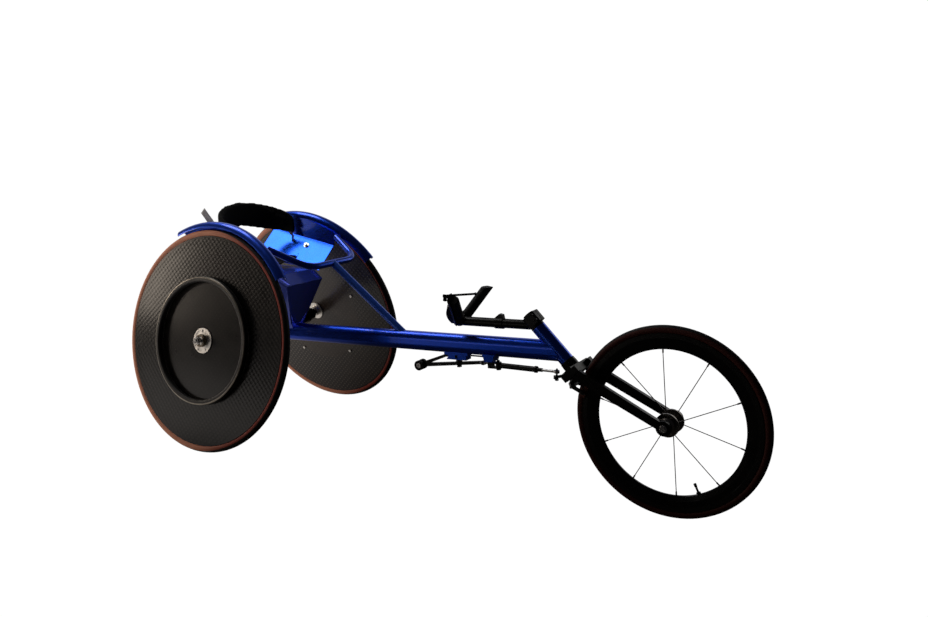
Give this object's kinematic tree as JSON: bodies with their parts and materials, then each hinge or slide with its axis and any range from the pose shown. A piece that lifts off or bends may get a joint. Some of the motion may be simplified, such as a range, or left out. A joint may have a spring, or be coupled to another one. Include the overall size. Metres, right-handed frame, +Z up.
{
  "type": "racing wheelchair",
  "caption": "Long low racing wheelchair: leaning disc rear wheels with push rims and fenders, bent-sheet seat cage, beam frame, V grips, steering compensator and forked spoked front wheel.",
  "frame": {"origin": "on the ground, in the middle of the chair's length and width", "axes": "+X forward towards the front wheel, +Y to the rider's left, +Z up"},
  "size_m": [1.927, 0.659, 0.7152],
  "materials": {
    "frame_paint": "metallic blue gloss paint",
    "black_alloy": "black anodised and painted alloy",
    "carbon": "clear-coated carbon fibre laminate",
    "push_rim": "black rubber-covered rim",
    "tyre": "black tubular tyre with a thin red line at the bead",
    "polished_alloy": "polished and anodised aluminium",
    "steel": "bright zinc-plated steel",
    "black_rubber": "soft black rubber",
    "black_plastic": "black moulded plastic",
    "upholstery": "black padded nylon",
    "webbing": "grey woven webbing",
    "spoke_wire": "dark bladed steel spokes"
  },
  "bodies": {
    "chair_frame": {"main_beam": "frame_paint", "head_tube": "frame_paint", "brace_tube": "frame_paint", "loop_bar": "frame_paint", "camber_bar": "frame_paint", "camber_sleeves": "black_alloy", "rear_axle_right": "polished_alloy", "rear_axle_left": "polished_alloy", "fender_right": "frame_paint", "fender_left": "frame_paint", "side_panel_right": "frame_paint", "side_panel_left": "frame_paint", "knee_tray": "frame_paint", "keel_plates": "frame_paint", "cage_bolts": "steel", "seat_sling": "upholstery", "back_upholstery": "upholstery", "back_straps": "webbing", "headset": "black_alloy", "compensator_brackets": "frame_paint", "damper_clevis": "black_alloy", "compensator_pins": "steel"},
    "steering": {"steerer": "polished_alloy", "fork_crown": "black_alloy", "fork_blade_right": "black_alloy", "fork_blade_left": "black_alloy", "front_axle": "steel", "stem": "black_alloy", "stem_bolts": "steel", "handlebar": "black_alloy", "grip_right": "black_rubber", "grip_left": "black_rubber", "lever_hood": "black_plastic", "bar_clamp": "black_alloy", "steering_arm": "black_alloy", "caliper_bolt": "steel"},
    "front_wheel": {"front_tyre": "tyre", "front_rim": "carbon", "front_spokes": "spoke_wire", "front_hub": "black_alloy", "front_bearings": "steel", "front_valve": "black_plastic"},
    "rear_wheel_right": {"tyre_right": "tyre", "disc_right": "carbon", "hub_right": "polished_alloy", "bearings_right": "steel", "push_rim_right": "push_rim"},
    "rear_wheel_left": {"tyre_left": "tyre", "disc_left": "carbon", "hub_left": "polished_alloy", "bearings_left": "steel", "push_rim_left": "push_rim"},
    "brake_lever": {"brake_lever": "black_alloy"},
    "caliper_arm_right": {"caliper_arm_right": "black_alloy"},
    "caliper_arm_left": {"caliper_arm_left": "black_alloy"},
    "track_lever": {"track_lever": "black_alloy", "lever_knob": "black_rubber", "lever_screws": "steel"},
    "damper_body": {"damper_body": "black_alloy"},
    "damper_rod": {"damper_rod": "steel"}
  },
  "joints": [
    {"name": "steering_turn", "type": "hinge", "parent": "chair_frame", "child": "steering", "pos_m": [0.45126, 0, 0.35192], "axis": [-0.729, 0, 0.6845], "range_deg": [-12, 12], "stiffness_Nm_per_rad": 2},
    {"name": "front_wheel_spin", "type": "hinge", "parent": "steering", "child": "front_wheel", "pos_m": [0.7185, 0, 0.245], "axis": [0, 1, 0], "continuous": true},
    {"name": "rear_wheel_right_spin", "type": "hinge", "parent": "chair_frame", "child": "rear_wheel_right", "pos_m": [-0.6295, -0.251, 0.32695], "axis": [0, 0.9781, -0.2079], "continuous": true},
    {"name": "rear_wheel_left_spin", "type": "hinge", "parent": "chair_frame", "child": "rear_wheel_left", "pos_m": [-0.6295, 0.251, 0.32695], "axis": [0, 0.9781, 0.2079], "continuous": true},
    {"name": "track_lever_swing", "type": "hinge", "parent": "chair_frame", "child": "track_lever", "pos_m": [0.1105, 0, 0.3082], "axis": [-0.0724, 0, 0.9974], "range_deg": [-3, 3]},
    {"name": "damper_swing", "type": "hinge", "parent": "chair_frame", "child": "damper_body", "pos_m": [0.2486, -0.02, 0.32526], "axis": [-0.0411, -0.8224, -0.5674], "range_deg": [-2.5, 2.5]},
    {"name": "damper_slide", "type": "slide", "parent": "damper_body", "child": "damper_rod", "axis": [0.9905, -0.1083, 0.0852], "range_m": [-0.0075, 0.0075]},
    {"name": "brake_lever_pull", "type": "hinge", "parent": "steering", "child": "brake_lever", "pos_m": [0.12741, -0.09386, 0.50882], "axis": [-0.2414, 0.6438, 0.7261], "range_deg": [0, 7], "stiffness_Nm_per_rad": 0.3, "springref_deg": -17.19},
    {"name": "caliper_right_close", "type": "hinge", "parent": "steering", "child": "caliper_arm_right", "pos_m": [0.4585, 0, 0.306], "axis": [0.3715, 0, 0.9284], "range_deg": [0, 1.05], "stiffness_Nm_per_rad": 0.3, "springref_deg": -5.73},
    {"name": "caliper_left_close", "type": "hinge", "parent": "steering", "child": "caliper_arm_left", "pos_m": [0.4585, 0, 0.306], "axis": [-0.3715, 0, -0.9284], "range_deg": [0, 1.05], "stiffness_Nm_per_rad": 0.3, "springref_deg": -5.73}
  ],
  "couplings": [
    {"joint": "damper_swing", "follows": "steering_turn", "ratio": 0.1748},
    {"joint": "damper_slide", "follows": "steering_turn", "m_per_rad": 0.031933},
    {"joint": "caliper_right_close", "follows": "brake_lever_pull", "ratio": 0.15},
    {"joint": "caliper_left_close", "follows": "brake_lever_pull", "ratio": 0.15}
  ]
}
